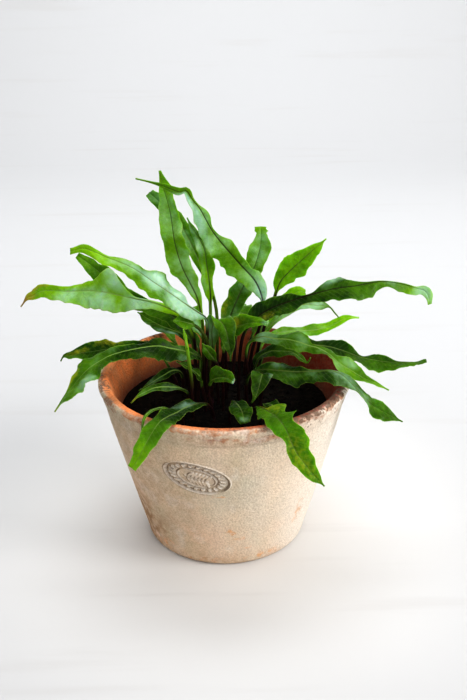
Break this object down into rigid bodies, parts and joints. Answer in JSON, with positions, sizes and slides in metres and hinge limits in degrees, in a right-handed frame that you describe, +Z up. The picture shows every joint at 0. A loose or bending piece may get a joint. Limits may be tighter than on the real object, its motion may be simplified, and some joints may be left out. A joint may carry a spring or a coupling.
{
  "type": "potted kangaroo paw fern",
  "caption": "Kangaroo paw fern with long, waved and lobed fronds that arch out of dark soil in a tapered terracotta pot.",
  "frame": {"origin": "on the ground at the middle of the pot's foot, which is also the middle of the whole plant's footprint", "axes": "+Z up, +X to the right and -Y towards a viewer who sees the fronds hang over the pot's front edge"},
  "size_m": [0.2629, 0.1952, 0.2401],
  "materials": {
    "terracotta": "unglazed fired clay with a pale lime bloom and orange rim",
    "soil": "moist dark potting soil",
    "frond": "glossy dark green leaf",
    "young_frond": "satin yellow-green leaf"
  },
  "bodies": {
    "root": {"pot": "terracotta", "soil": "soil", "frond_tall_left": "frond", "frond_tall_behind": "frond", "frond_upright": "frond", "frond_arching": "frond", "frond_back_upright": "frond", "frond_backlit": "young_frond", "frond_long_right": "frond", "frond_torn_short": "young_frond", "frond_back_tip": "young_frond", "frond_back_right": "frond", "frond_low_back_right": "young_frond", "frond_right_arm": "frond", "frond_right_arm_behind": "frond", "frond_right_low": "frond", "frond_under_right_arm": "frond", "frond_sheen_left": "frond", "frond_far_left": "frond", "frond_dark_left": "frond", "frond_back_left_low": "frond", "frond_left_arm": "frond", "frond_left_arm_behind": "frond", "frond_curled_pair": "young_frond", "frond_unrolling": "young_frond", "frond_folded_over": "frond", "frond_small_between": "frond", "frond_young_middle": "young_frond", "frond_hanging_middle": "frond", "frond_left_inner": "frond", "frond_inside_left": "frond", "frond_inside_left_low": "frond", "frond_front_left_small": "frond", "frond_front_left": "frond", "frond_front_droop": "frond", "frond_front_dark": "frond", "frond_front_right": "young_frond", "frond_back_middle": "frond", "frond_back_left": "frond", "frond_back_far_left": "frond", "frond_back_inside_left": "frond", "frond_back_middle_right": "frond"}
  },
  "joints": []
}
